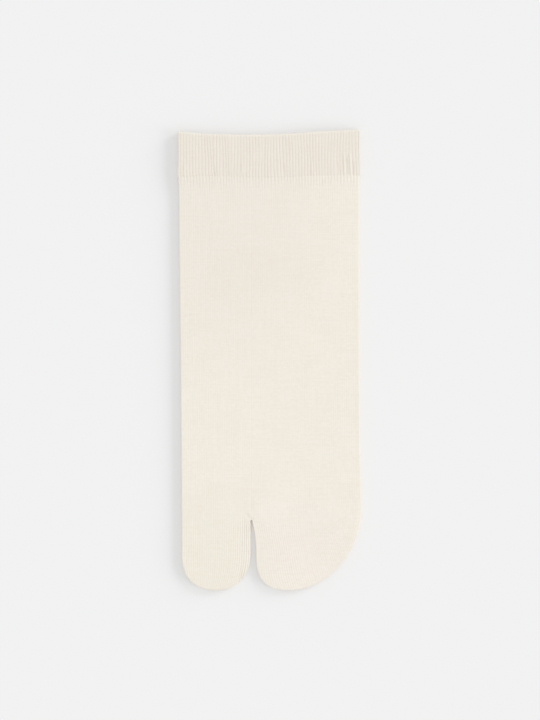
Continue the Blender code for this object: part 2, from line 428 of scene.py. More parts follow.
class Cloth:
    """The points and faces of a piece of cloth while it is put together."""

    def __init__(self):
        self.points = []
        self.patterns = []
        self.faces = []
        self.count = 0

    def add(self, points, pattern):
        """Adds points with their places in the pattern, and gives their numbers."""
        self.points.append(points)
        self.patterns.append(pattern)
        self.count += len(points)
        return np.arange(self.count - len(points), self.count)

    def grid(self, points, pattern, known=None):
        """Adds a grid of points, apart from those that known already has numbers for."""
        numbers = np.full(points.shape[:2], -1) if known is None else known.copy()
        fresh = numbers < 0
        numbers[fresh] = self.add(points[fresh], pattern[fresh])
        return numbers

    def quads(self, a, b, c, d, turned=False):
        corners = (d, c, b, a) if turned else (a, b, c, d)
        self.faces += np.stack(corners, axis=-1).reshape(-1, 4).tolist()

    def knit(self, numbers, turned):
        """Joins a grid's points into faces. Where a fold meets the tip, at the last row's two
        ends, the face is cut from the tip to the cloth, so that no cut follows the fold."""
        a, b, c, d = numbers[:-1, :-1], numbers[1:, :-1], numbers[1:, 1:], numbers[:-1, 1:]
        whole = np.ones(a.shape, bool)
        whole[-1, 0] = False
        whole[-1, -1] = False
        self.quads(a[whole], b[whole], c[whole], d[whole], turned)
        for corners in (
            (a[-1, 0], b[-1, 0], d[-1, 0]),
            (b[-1, 0], c[-1, 0], d[-1, 0]),
            (a[-1, -1], b[-1, -1], c[-1, -1]),
            (a[-1, -1], c[-1, -1], d[-1, -1]),
        ):
            self.faces.append([int(number) for number in (corners[::-1] if turned else corners)])

    def finish(self, name, material, wrap=0.0):
        """Makes the mesh. The pattern joins up with itself after wrap, where that is given."""
        mesh = bpy.data.meshes.new(name)
        mesh.from_pydata(np.concatenate(self.points), [], self.faces)
        layer = mesh.uv_layers.new(name="knit")
        corners = np.concatenate(self.patterns)[np.concatenate(self.faces)]
        if wrap:
            across = corners[:, 0].reshape(-1, 4)
            joining = np.ptp(across, axis=1, keepdims=True) > wrap / 2
            across += wrap * (joining & (across < wrap / 2))
            corners[:, 0] = across.ravel()
        layer.data.foreach_set("uv", corners.ravel())
        mesh.materials.append(material)
        mesh.shade_smooth()
        mesh.update()
        piece = bpy.data.objects.new(name, mesh)
        bpy.context.scene.collection.objects.link(piece)
        return piece


# ---------------------------------------------------------------- the foot

# Rows of points down a skin: how far below the mouth the first ones are, how many go down the
# body, how many lie near the split and how far apart, how far the fine ones are from the split's
# top end and from the tips, and how many go down a pocket between those.
Rows = namedtuple("Rows", "mouth body near near_step fine between")
OUTER_ROWS = Rows(
    mouth=(0.0, 0.45, 0.8, 1.15, 1.6, 2.2, 2.9, 3.7, 4.6, 5.6, 7.0),
    body=48,
    near=9,
    near_step=1.2,
    fine=(0.0, 0.025, 0.09, 0.2, 0.36, 0.7, 1.2),
    between=15,
)
INNER_ROWS = Rows(
    mouth=(0.0, 4.0), body=10, near=3, near_step=3.6, fine=(0.0, 0.1, 0.35, 0.8), between=7
)
EDGE_COLUMNS = np.array((0.0, 0.025, 0.09, 0.2, 0.36, 0.6, 0.9)) * MM
EDGE_ROOM = 0.2 * MM

Half = namedtuple("Half", "x y across rim split_row")


def column_places(left, right):
    """Where columns of points stand: several to a wale, and closer together at both ends."""
    step = WALE / SAMPLES_PER_WALE
    first = math.ceil((left + EDGE_COLUMNS[-1] + EDGE_ROOM) / step)
    last = math.floor((right - EDGE_COLUMNS[-1] - EDGE_ROOM) / step)
    inner = np.arange(first, last + 1) * step
    return np.concatenate([left + EDGE_COLUMNS, inner, right - EDGE_COLUMNS[::-1]])


def column_ends(pocket, columns, share, start_y, inset):
    """How far down each column of a pocket reaches, found by halving."""
    inside = np.full_like(share, start_y)
    outside = np.full_like(share, TIP_Y + inset)
    for _ in range(40):
        middle = (inside + outside) / 2
        within = in_tip(pocket, columns(share, middle, inset), middle, inset)
        inside = np.where(within, middle, inside)
        outside = np.where(within, outside, middle)
    return inside


def half_of_foot(pocket, columns, left, right, inset, rows):
    """A grid of points over the foot on one side of the split and down through its pocket."""
    across = column_places(left, right)
    share = (across - left) / (right - left)
    fine = np.array(rows.fine)[:, None] * MM
    near = np.arange(rows.near, 0, -1)[:, None] * rows.near_step * MM
    level = np.ones((1, len(share)))
    split_y = SPLIT_Y * MM + inset
    mouth_y = cuff_seam_y(left + share * (right - left)) + MOUTH_LAP
    low_y = split_y + fine[-1] + near[0]
    body = np.linspace(0, 1, rows.body, endpoint=False)[:, None]
    mouth = np.array(rows.mouth)[:, None] * MM
    upper = [
        mouth_y - mouth[:-1],
        lerp(mouth_y - mouth[-1], low_y, body),
        (split_y + fine[-1] + near) * level,
        (split_y + fine[::-1]) * level,
    ]
    ends = column_ends(pocket, columns, share, split_y - fine[-1, 0], inset)
    between = np.linspace(0, 1, rows.between)[1:, None]
    lower = [
        (split_y - fine[1:]) * level,
        lerp(split_y - fine[-1], ends + fine[-1], between),
        ends + fine[-2::-1],
    ]
    y = np.concatenate([*upper, *lower])
    split_row = sum(len(rows_down) for rows_down in upper) - 1
    rim = np.zeros(y.shape, bool)
    rim[-1] = True
    fold, split = (0, -1) if pocket is BIG_TOE else (-1, 0)
    rim[:, fold] = True
    rim[split_row:, split] = True
    return Half(columns(share, y, inset), y, across, rim, split_row)


def foot_height(x, y):
    """The flat foot's height. It swells to the cuff's at the hem, goes down again under the
    cuff, and dips round the split's top end."""
    below = np.maximum(cuff_seam_y(x) - y, 0.0)
    under = np.maximum(y - cuff_seam_y(x), 0.0)
    swell = (CUFF_HEIGHT - FOOT_HEIGHT) * np.exp(-((below / HEM_SWELL_REACH) ** 1.5)) - 0.8 * under
    from_split = np.hypot(x - SPLIT_X * MM, np.maximum(y - SPLIT_Y * MM, 0.0))
    return FOOT_HEIGHT + swell - SPLIT_DIP * np.exp(-((from_split / SPLIT_DIP_REACH) ** 2))


def slow_swell(x, y, turned):
    """The height of the long low waves, each turned by so many degrees and shifted with that."""
    total = np.zeros_like(x)
    for swell in SWELLS:
        way = math.radians(swell.turn + turned)
        along = (x * math.cos(way) + y * math.sin(way)) / (swell.length * MM)
        total = total + np.sin(2 * math.pi * along + swell.start + 0.02 * turned)
    return SWELL_HEIGHT * total


def round_tube(left, right):
    """The blunt fold's reach, its length on one layer, the straight run and the whole way round
    the cuff's flat tube."""
    radius = CUFF_HEIGHT / 2
    reach = radius * CUFF_FOLD_REACH
    quarter = math.pi * (radius + reach) / 4
    straight = right - left - 2 * reach
    return reach, quarter, straight, 2 * straight + 4 * quarter


def rib_lean(share, climb):
    """How far each rib of the upper layer wanders aside, as a share of the way round."""
    lean = RIB_LEAN * (1 - climb) ** 2 * (0.55 * wander(share, 3, (2, 3, 5)) + 0.35)
    return lean + RIB_WAVER * np.sin(3.1 * climb + 2 * math.pi * wander(share, 5, (1, 2, 4)))


def rib_valley(rib):
    """0 along the middle of each rib and 1 down between two ribs."""
    return (0.5 - 0.5 * np.cos(2 * math.pi * rib)) ** 1.6


def ribs_run_on(x, y, leaning):
    """The cuff's ribs where they run on into the foot, and how strong they still are."""
    seam_y = cuff_seam_y(x)
    left = interpolate(CUFF_STATIONS, "y", "left", seam_y)
    reach, quarter, straight, around = round_tube(
        left, interpolate(CUFF_STATIONS, "y", "right", seam_y)
    )
    share = (np.clip(x - left - reach, 0.0, straight) + quarter) / around
    if leaning:
        share = share - rib_lean(share, 0.0)
    run_on = (RUN_ON + RUN_ON_UNEVEN * wander(share, 12, (5, 9, 23))) * MM
    fading = np.exp(-((np.maximum(seam_y - y, 0) / run_on) ** 4))
    return RIB_DEPTH * RUN_ON_DEPTH * rib_valley(share * RIB_COUNT) + RIB_SUNK, fading


def wale_relief(across, x, y, leaning):
    """How deep the knit's surface lies: down between the wales, and ribbed below the cuff."""
    valley = 0.5 - 0.5 * np.cos(2 * math.pi * across / WALE)
    in_pocket = smooth_step(*POCKET_Y, y)
    bold = BOLD_WALES * smooth_step(*BOLD_WALES_START, x) * smooth_step(*BOLD_WALES_END, x)
    uneven = 1 + 0.3 * np.sin(across / (3.7 * MM)) * np.sin(y / (9 * MM))
    relief = WALE_DEPTH * valley * (uneven + in_pocket * (POCKET_WALES + bold))
    ribs, fading = ribs_run_on(x, y, leaning)
    return lerp(relief, ribs, fading)


def fold_section(depth, height, inset):
    """At a depth in from the outline: a skin's rise off the tube's middle, the share of its full
    rise, and how much longer the way over the fold is than it looks from above."""
    radius = height / 2 - inset
    part = np.minimum(depth / (radius * FOLD_REACH), 1.0)
    rise = radius * np.sqrt(1 - (1 - part) ** 2)
    wrap = radius * (math.pi / 2 - np.arccos(1 - part)) - radius * (1 - part)
    return rise, rise / radius, wrap


def add_skin(cloth, inset, rows):
    """Adds the foot's outer skin, or its inner one where inset is the wall's thickness, and
    gives the numbers of the points round its mouth, on the upper and the lower layer."""
    corners = outline(inset)
    left = FOOT_STATIONS[-1].left * MM
    right = FOOT_STATIONS[-1].right * MM
    mouths = []
    known = {}
    for pocket, columns, first, last in (
        (BIG_TOE, big_toe_columns, left, SPLIT_X * MM),
        (SMALL_TOES, small_toes_columns, SPLIT_X * MM, right),
    ):
        half = half_of_foot(pocket, columns, first, last, inset, rows)
        depth, way_x, way_y = from_outline(corners, half.x, half.y)
        depth[half.rim] = 0.0
        height = foot_height(half.x, half.y)
        rise, flatness, wrap = fold_section(depth, height, inset)
        loose = smooth_step(0.0, CREASE_ROOM, depth)
        lift = crease_height(UPPER_CREASES, half.x, half.y) + slow_swell(half.x, half.y, 0)
        sink = crease_height(LOWER_CREASES, half.x, half.y) + slow_swell(half.x, half.y, 90)
        lift, sink = loose * lift, loose * np.maximum(sink, 0.0)
        pattern = np.stack([half.across + way_x * wrap, half.y + way_y * wrap], axis=-1)
        for layer, z in (
            ("upper", height / 2 + rise + lift),
            ("lower", height / 2 - rise + sink),
        ):
            if inset == 0:
                relief = wale_relief(half.across, half.x, half.y, layer == "upper") * flatness
                z = z - relief if layer == "upper" else z + relief
            numbers = np.full(half.x.shape, -1)
            if layer == "lower":
                numbers = np.where(half.rim, known["rim"], -1)
            if pocket is SMALL_TOES:
                numbers[: half.split_row + 1, 0] = known[layer]
            points = np.stack([half.x, half.y, z], axis=-1)
            numbers = cloth.grid(points, pattern, numbers)
            if layer == "upper":
                known["rim"] = numbers
            known[layer] = numbers[: half.split_row + 1, -1]
            cloth.knit(numbers, turned=(layer == "lower") != (inset > 0))
            mouths.append(numbers[0])
    upper = np.concatenate([mouths[0], mouths[2][1:]])
    lower = np.concatenate([mouths[1], mouths[3][1:]])
    return upper, lower


def make_foot(material):
    """The foot and both toes in one cloth, and the flat area of its two layers."""
    cloth = Cloth()
    outer = add_skin(cloth, 0.0, OUTER_ROWS)
    inner = add_skin(cloth, KNIT_WALL, INNER_ROWS)
    for layer in (0, 1):
        a, b = outer[layer][:-1], outer[layer][1:]
        c, d = inner[layer][1:], inner[layer][:-1]
        cloth.quads(a, b, c, d, turned=layer == 1)
    piece = cloth.finish("foot_cloth", material)
    corners = outline(0.0)
    corners = corners[corners[:, 1] < CUFF_SEAM_LEFT]
    x, y = corners.T
    flat_area = abs(x @ np.roll(y, 1) - y @ np.roll(x, 1)) / 2
    return piece, 2 * flat_area


# ---------------------------------------------------------------- the cuff

# The cuff's rounded hem: how far above its lowest point and how far in each row lies.
HemRow = namedtuple("HemRow", "up inwards")
HEM_ROWS = (
    HemRow(up=0.0, inwards=0.6),
    HemRow(up=0.35, inwards=0.34),
    HemRow(up=0.65, inwards=0.16),
    HemRow(up=0.95, inwards=0.05),
    HemRow(up=1.4, inwards=0.0),
)
OUTER_CUFF_ROWS = 19
RIM_ROWS = 8
INNER_CUFF_ROWS = 6
# A rib's width in the pattern.
RIB = 1.5 * MM

# How unlike each other the ribs are, in height and in depth, how much of their depth is left
# inside the cuff and lost at the rim, and how far the upper layer stands open at the rim.
RIB_HEIGHT_SPREAD = 0.022
RIB_DEPTH_SPREAD = 0.2
INNER_RIBS = 0.35
RIM_FLATTENING = 0.55
GAPE = 0.3 * MM


def tube_section(along, left, right):
    """The middle of the fold or layer, and the way out, at a share of the way round a flat
    tube. It starts at the left fold and goes over the upper layer first."""
    reach, quarter, straight, around = round_tube(left, right)
    along = (along % 1.0) * around
    over = np.clip(along - quarter, 0, straight)
    back = np.clip(along - 3 * quarter - straight, 0, straight)
    turn = (along - over - back) / quarter * math.pi / 2
    return left + reach + over - back, -np.cos(turn), np.sin(turn)


def cuff_profile(half_wall):
    """The rows of the cuff's wall, from its hem up the outer side, over the rim and down inside:
    how far each is above its place, the share of the way up, the depth in and the turn."""
    rise = [row.up * MM for row in HEM_ROWS]
    climb = [0.0] * len(rise) + list(np.linspace(0, 1, OUTER_CUFF_ROWS + 1)[1:])
    rise += [0.0] * OUTER_CUFF_ROWS
    depth = [row.inwards * MM for row in HEM_ROWS] + [0.0] * OUTER_CUFF_ROWS
    turns = [0.0] * len(depth)
    for turn in np.linspace(0, math.pi, RIM_ROWS + 1)[1:]:
        rise.append(half_wall * math.sin(turn))
        climb.append(1.0)
        depth.append(half_wall * (1 - math.cos(turn)))
        turns.append(turn)
    for step in np.linspace(1, 0, INNER_CUFF_ROWS + 1)[1:]:
        rise.append(0.0)
        climb.append(step)
        depth.append(CUFF_WALL)
        turns.append(math.pi)
    return (np.array(values)[:, None] for values in (rise, climb, depth, turns))


def on_cuff(y, along):
    """The tube's section at y, as tube_section gives it."""
    left = interpolate(CUFF_STATIONS, "y", "left", y)
    right = interpolate(CUFF_STATIONS, "y", "right", y)
    return tube_section(along, left, right)


def uneven_ribs(rib):
    """How deep the cuff's surface lies round the tube, with each rib a little unlike the next."""
    rng = np.random.default_rng(8)
    rib_height = rng.normal(0.0, RIB_HEIGHT_SPREAD, RIB_COUNT + 1) * MM
    rib_height[-1] = rib_height[0]
    rib_depth = 1 + rng.normal(0.0, RIB_DEPTH_SPREAD, RIB_COUNT + 1)
    rib_depth[-1] = rib_depth[0]
    rib_line = np.arange(RIB_COUNT + 1)
    ribs = RIB_DEPTH * rib_valley(rib) * np.interp(rib, rib_line, rib_depth)
    return np.maximum(ribs + np.interp(rib, rib_line, rib_height) + RIB_SUNK, 0)


def make_cuff(material):
    """The cuff's wall, swept round the tube."""
    radius = CUFF_HEIGHT / 2
    half_wall = CUFF_WALL / 2
    count = RIB_COUNT * SAMPLES_PER_RIB
    share = np.arange(count) / count
    rib = share * RIB_COUNT
    rise, climb, depth, turns = cuff_profile(half_wall)

    middle_y = np.full((1, count), (CUFF_BOX[0].y + CUFF_BOX[1].y) / 2)
    x, _, out_z = on_cuff(middle_y, share[None])
    dip = np.sin(math.pi * np.clip((x - CUFF_BOX[0].x) / (CUFF_BOX[1].x - CUFF_BOX[0].x), 0, 1))
    upper_side = smooth_step(-0.6, 0.6, out_z)
    rim_y = interpolate(CUFF_RIM, "x", "y", x) - LOWER_LAYER_SHOWS * dip * upper_side
    top_y = rim_y - half_wall
    hem_y = cuff_seam_y(x) - HEM_LAP
    lower_y = hem_y + HEM_ROWS[-1].up * MM
    y = np.where(climb > 0, lerp(lower_y, top_y, climb), hem_y) + rise
    x, out_x, out_z = on_cuff(y, share[None] + rib_lean(share, climb) * upper_side)

    outside = depth < half_wall
    flattened = 1 - RIM_FLATTENING * smooth_step(0.93, 0.99, climb)
    relief = -uneven_ribs(rib) * flattened * np.where(outside, 1.0, INNER_RIBS)
    relief = relief * (1 + 0.15 * smooth_step(0.12, 0.0, climb))
    folds = crease_height(CUFF_CREASES, x, y) * upper_side * (depth == 0)
    gape = smooth_step(0.45, 1.0, climb) * (0.5 + 0.5 * wander(share, 21, (3, 5, 7)))
    out = radius - depth + relief + folds + GAPE * gape * upper_side * dip
    y = y - 0.1 * MM * rib_valley(rib) * np.sin(turns)
    points = np.stack([x + out * out_x * CUFF_FOLD_REACH, y, radius + out * out_z], axis=-1)

    tall = CUFF_BOX[1].y - CUFF_BOX[0].y
    way_up = np.where(outside, climb - 1, 1 - climb) * tall + half_wall * turns
    way_up = way_up + np.where(climb > 0, 0.0, rise - HEM_ROWS[-1].up * MM)
    way_up = np.broadcast_to(way_up, y.shape)
    pattern = np.stack([np.broadcast_to(rib * RIB, y.shape), way_up], axis=-1)
    cloth = Cloth()
    numbers = cloth.grid(points, pattern)
    above = np.roll(numbers, -1, axis=0)
    cloth.quads(numbers, above, np.roll(above, -1, axis=1), np.roll(numbers, -1, axis=1), True)
    return cloth.finish("cuff_rib", material, wrap=RIB_COUNT * RIB)


# ---------------------------------------------------------------- yarn and knit

# Linear colours of the yarn, and of the painted shade and painted light laid on it.
BODY_YARN = (0.921, 0.873, 0.79)
# Painted shade on the foot below the cuff, more on the left.
NEAR_CUFF_PAINTED_SHADE = (0.891, 0.84, 0.766)
BIG_TOE_YARN = (0.908, 0.864, 0.772)
CUFF_YARN = (0.881, 0.834, 0.76)
# Painted light at the cuff's rim and hem, which also gives the cuff its paler tone towards the
# right end.
PALER_CUFF_AND_PAINTED_LIGHT = (0.93, 0.9, 0.83)
# The darker yarn of its uneven tone and of the narrowing's marks, also used as painted shade
# between stitches and ribs and in patches.
DARKER_YARN_AND_PAINTED_SHADE = (0.80, 0.70, 0.56)
# Painted light, on folds that face left and in pale patches on the foot.
PAINTED_LIGHT_COLOUR = (0.96, 0.925, 0.86)
WARM_YARN = (0.93, 0.872, 0.806)

# Soft oval patches of another shade on the foot: where, how far each way, and how strong. The
# shaded ones are painted shade and the pale ones painted light of the cloth's soft creases; the
# warm one is a tint of the yarn.
Patch = namedtuple("Patch", "x y reach_x reach_y yarn share")
PAINTED_LIGHT_AND_TINT_PATCHES = (
    Patch(x=-28.0, y=-70.0, reach_x=26.0, reach_y=11.0, yarn=DARKER_YARN_AND_PAINTED_SHADE, share=0.07),
    Patch(x=0.0, y=-79.5, reach_x=11.0, reach_y=13.0, yarn=PAINTED_LIGHT_COLOUR, share=0.32),
    Patch(x=16.0, y=-96.0, reach_x=36.0, reach_y=34.0, yarn=WARM_YARN, share=0.7),
    Patch(x=-6.0, y=44.0, reach_x=34.0, reach_y=16.0, yarn=DARKER_YARN_AND_PAINTED_SHADE, share=0.07),
    Patch(x=-26.0, y=38.0, reach_x=10.0, reach_y=12.0, yarn=DARKER_YARN_AND_PAINTED_SHADE, share=0.04),
    Patch(x=-22.0, y=-36.0, reach_x=9.0, reach_y=14.0, yarn=DARKER_YARN_AND_PAINTED_SHADE, share=0.06),
    Patch(x=36.0, y=45.0, reach_x=12.0, reach_y=24.0, yarn=PAINTED_LIGHT_COLOUR, share=0.08),
    Patch(x=-26.0, y=42.0, reach_x=18.0, reach_y=10.0, yarn=PAINTED_LIGHT_COLOUR, share=0.06),
    Patch(x=-12.5, y=-93.0, reach_x=4.2, reach_y=17.0, yarn=PAINTED_LIGHT_COLOUR, share=0.55),
)

# Where the foot's painted shade and the big toe's tint start to change and where they are whole.
PAINTED_SHADE_Y = (-40 * MM, 70 * MM)
PAINTED_SHADE_X = (-30 * MM, 46 * MM)
BIG_TOE_X = (-14 * MM, -4 * MM)
BIG_TOE_Y = (-83 * MM, -70 * MM)

# The cuff is paler at its rim and in a band at its hem, as painted light, and a little paler
# towards its right end.
PAINTED_RIM_LIGHT = (-0.7 * MM, -0.2 * MM)
PAINTED_HEM_LIGHT = (-23.6 * MM, -25.0 * MM)
PALE_RIGHT = (-5 * MM, 46 * MM)

# The marks where the small toes' pocket was narrowed, in a row across its right side.
GORE_MIDDLE = (34.0, -80.8)
GORE_TURN = 30
GORE_LENGTH = 20
GORE_PITCH = 1.5
GORE_SHARE = 0.16

# How the yarn's shade varies, in lumps of so many millimetres across and along the wales: down
# single wales, along single courses, from stitch to stitch and in broad clouds.
Unevenness = namedtuple("Unevenness", "across along detail weight")
YARN_UNEVENNESS = (
    Unevenness(across=0.9, along=14, detail=1.0, weight=0.5),
    Unevenness(across=16, along=0.75, detail=1.0, weight=1.0),
    Unevenness(across=1.9, along=1.3, detail=1.0, weight=1.3),
    Unevenness(across=13, along=10, detail=2.0, weight=0.7),
)
FUZZ_SIZE = 0.28 * MM
FUZZ_WEIGHT = 0.6
EVEN_SHADE = 0.34
SHADE_SHARE = 0.27
# How much painted shade darkens the yarn down between the stitches.
PAINTED_STITCH_SHADE_SHARE = 0.11
# How strongly painted light pales the steep faces of folds that face left.
PAINTED_FOLD_LIGHT_SHARE = 0.8


def add_node(tree, kind, **settings):
    node = tree.nodes.new(kind)
    for name, value in settings.items():
        setattr(node, name, value)
    return node


def feed(tree, socket, value):
    """Sets a socket to a number or a colour, or joins it to another node's output."""
    if isinstance(value, bpy.types.NodeSocket):
        tree.links.new(value, socket)
    else:
        socket.default_value = value


def maths(tree, operation, *values):
    node = add_node(tree, "ShaderNodeMath", operation=operation)
    for socket, value in zip(node.inputs, values):
        feed(tree, socket, value)
    return node.outputs[0]


def ramp(tree, value, low, high, start=0.0, end=1.0):
    """From start at low to end at high by a soft slope, and level beyond them."""
    node = add_node(tree, "ShaderNodeMapRange", interpolation_type="SMOOTHSTEP")
    for socket, number in zip(node.inputs, (value, low, high, start, end)):
        feed(tree, socket, number)
    return node.outputs[0]


def blend_colours(tree, share, first, second):
    node = add_node(tree, "ShaderNodeMix", data_type="RGBA")
    for name, value in (("Factor_Float", share), ("A_Color", first), ("B_Color", second)):
        socket = next(s for s in node.inputs if s.identifier == name)
        feed(tree, socket, (*value, 1.0) if isinstance(value, tuple) else value)
    return next(s for s in node.outputs if s.identifier == "Result_Color")


def noise(tree, place, size, detail=2.0, roughness=0.5):
    """Noise whose lumps are as long as size says along each axis."""
    mapping = add_node(tree, "ShaderNodeMapping", vector_type="POINT")
    tree.links.new(place, mapping.inputs["Vector"])
    mapping.inputs["Scale"].default_value = [1 / length for length in size]
    node = add_node(tree, "ShaderNodeTexNoise", noise_dimensions="3D")
    tree.links.new(mapping.outputs[0], node.inputs["Vector"])
    node.inputs["Scale"].default_value = 1.0
    node.inputs["Detail"].default_value = detail
    node.inputs["Roughness"].default_value = roughness
    return node.outputs[0]


def stitch_height(tree, across, along, wale, course):
    """The height of plain knitting: in each wale, one V of yarn above another."""
    cell = maths(tree, "FRACT", maths(tree, "ADD", maths(tree, "DIVIDE", across, wale), 0.5))
    aside = maths(tree, "ABSOLUTE", maths(tree, "SUBTRACT", cell, 0.5))
    off_leg = maths(tree, "MULTIPLY", maths(tree, "SUBTRACT", aside, 0.25), 4.0)
    leg = maths(tree, "SUBTRACT", 1.0, maths(tree, "POWER", maths(tree, "ABSOLUTE", off_leg), 2.0))
    slant = maths(tree, "MULTIPLY", aside, 1.5)
    row = maths(tree, "SUBTRACT", maths(tree, "DIVIDE", along, course), slant)
    place = maths(tree, "SUBTRACT", maths(tree, "FRACT", row), 0.5)
    far = maths(tree, "MULTIPLY", maths(tree, "ABSOLUTE", place), 2.0)
    end = maths(tree, "SUBTRACT", 1.0, maths(tree, "POWER", far, 3.0))
    strand = maths(tree, "ADD", 0.4, maths(tree, "MULTIPLY", end, 0.6))
    return maths(tree, "MULTIPLY", leg, strand)


def yarn_tone_and_painted_shade(tree, pattern, fuzz, stitches):
    """How far the yarn's colour goes to the darker one: unevenly, as the yarn's own tone, and more
    down between the stitches, as painted shade.
    """
    parts = [
        (noise(tree, pattern, (part.across * MM, part.along * MM, 1.0), part.detail), part.weight)
        for part in YARN_UNEVENNESS
    ]
    shade = EVEN_SHADE
    for part, weight in (*parts, (fuzz, FUZZ_WEIGHT)):
        lean = maths(tree, "MULTIPLY", maths(tree, "SUBTRACT", part, 0.5), weight)
        shade = maths(tree, "ADD", shade, lean)
    # Painted shade in the hollows between stitches.
    stitch_painted_shade = ramp(tree, stitches, 0.0, 0.45, PAINTED_STITCH_SHADE_SHARE, 0.0)
    return maths(tree, "ADD", maths(tree, "MULTIPLY", shade, SHADE_SHARE), stitch_painted_shade)


def fold_painted_light(tree):
    """Where the cloth turns down at a fold that faces left, and how much painted light pales it
    there, where the light from the right leaves it dark.
    """
    facing = add_node(tree, "ShaderNodeSeparateXYZ")
    tree.links.new(add_node(tree, "ShaderNodeTexCoord").outputs["Normal"], facing.inputs[0])
    steep = ramp(tree, facing.outputs[2], 0.4, 0.85, PAINTED_FOLD_LIGHT_SHARE, 0.0)
    return maths(tree, "MULTIPLY", steep, ramp(tree, facing.outputs[0], -0.35, 0.0, 1.0, 0.0))


def bump(tree, height, depth, under=None):
    """Bump from a height, on top of the bump under it."""
    node = add_node(tree, "ShaderNodeBump")
    node.inputs["Distance"].default_value = depth
    tree.links.new(height, node.inputs["Height"])
    if under is not None:
        tree.links.new(under, node.inputs["Normal"])
    return node.outputs[0]


def knit_material(name, wale, course, stitch_depth, fuzz_depth, colour):
    """Matt cotton knit, with painted shade between the stitches and painted light on folds that
    face left. colour takes the node tree and the object and pattern places, and gives the yarn's
    colour, with painted shade and light of its own, before its uneven shade."""
    material = bpy.data.materials.new(name)
    material.use_nodes = True
    tree = material.node_tree
    shader = tree.nodes["Principled BSDF"]
    pattern = add_node(tree, "ShaderNodeUVMap", uv_map="knit").outputs[0]
    place = add_node(tree, "ShaderNodeTexCoord").outputs["Object"]
    split = add_node(tree, "ShaderNodeSeparateXYZ")
    tree.links.new(pattern, split.inputs[0])

    wobble = noise(tree, pattern, (4 * MM, 3 * MM, 1.0))
    shift = maths(tree, "MULTIPLY", maths(tree, "SUBTRACT", wobble, 0.5), 0.35 * MM)
    across = maths(tree, "ADD", split.outputs[0], shift)
    along = maths(tree, "ADD", split.outputs[1], maths(tree, "MULTIPLY", shift, -1.3))
    stitches = stitch_height(tree, across, along, wale, course)
    fuzz = noise(tree, place, (FUZZ_SIZE, FUZZ_SIZE, FUZZ_SIZE), detail=4.0, roughness=0.65)

    darker = yarn_tone_and_painted_shade(tree, pattern, fuzz, stitches)
    # The yarn's uneven tone, with painted shade between the stitches.
    yarn = blend_colours(tree, darker, colour(tree, place, pattern), DARKER_YARN_AND_PAINTED_SHADE)
    # Painted light on folds that face left.
    yarn = blend_colours(tree, fold_painted_light(tree), yarn, PAINTED_LIGHT_COLOUR)
    tree.links.new(yarn, shader.inputs["Base Color"])

    relief = bump(tree, stitches, stitch_depth, under=bump(tree, fuzz, fuzz_depth))
    tree.links.new(relief, shader.inputs["Normal"])
    rough = ramp(tree, fuzz, 0.3, 0.7, 0.86, 0.98)
    tree.links.new(rough, shader.inputs["Roughness"])
    shader.inputs["Specular IOR Level"].default_value = 0.18
    shader.inputs["Sheen Weight"].default_value = 0.3
    shader.inputs["Sheen Roughness"].default_value = 0.5
    shader.inputs["Sheen Tint"].default_value = (1.0, 0.97, 0.92, 1.0)
    return material


def soft_oval(tree, x, y, oval):
    """1 in the middle of a patch, down to 0 at its edge."""
    total = 0.0
    for value, middle, reach in ((x, oval.x, oval.reach_x), (y, oval.y, oval.reach_y)):
        off = maths(tree, "DIVIDE", maths(tree, "SUBTRACT", value, middle * MM), reach * MM)
        total = maths(tree, "ADD", maths(tree, "MULTIPLY", off, off), total)
    return ramp(tree, total, 0.0, 1.0, 1.0, 0.0)


def gore_marks(tree, pattern):
    """The row of small marks where the small toes' pocket was narrowed, 1 in each mark."""
    mapping = add_node(tree, "ShaderNodeMapping", vector_type="TEXTURE")
    tree.links.new(pattern, mapping.inputs["Vector"])
    mapping.inputs["Location"].default_value = (GORE_MIDDLE[0] * MM, GORE_MIDDLE[1] * MM, 0)
    mapping.inputs["Rotation"].default_value = (0, 0, math.radians(GORE_TURN))
    split = add_node(tree, "ShaderNodeSeparateXYZ")
    tree.links.new(mapping.outputs[0], split.inputs[0])
    along = maths(tree, "DIVIDE", split.outputs[0], GORE_PITCH * MM)
    off = maths(tree, "ABSOLUTE", maths(tree, "SUBTRACT", maths(tree, "FRACT", along), 0.5))
    dots = ramp(tree, off, 0.1, 0.34, 1.0, 0.0)
    aside = ramp(tree, maths(tree, "ABSOLUTE", split.outputs[1]), 0.2 * MM, 0.65 * MM, 1.0, 0.0)
    far = maths(tree, "ABSOLUTE", split.outputs[0])
    within = ramp(tree, far, GORE_LENGTH / 2 * MM, (GORE_LENGTH / 2 - 3) * MM, 0.0, 1.0)
    return maths(tree, "MULTIPLY", dots, maths(tree, "MULTIPLY", aside, within))


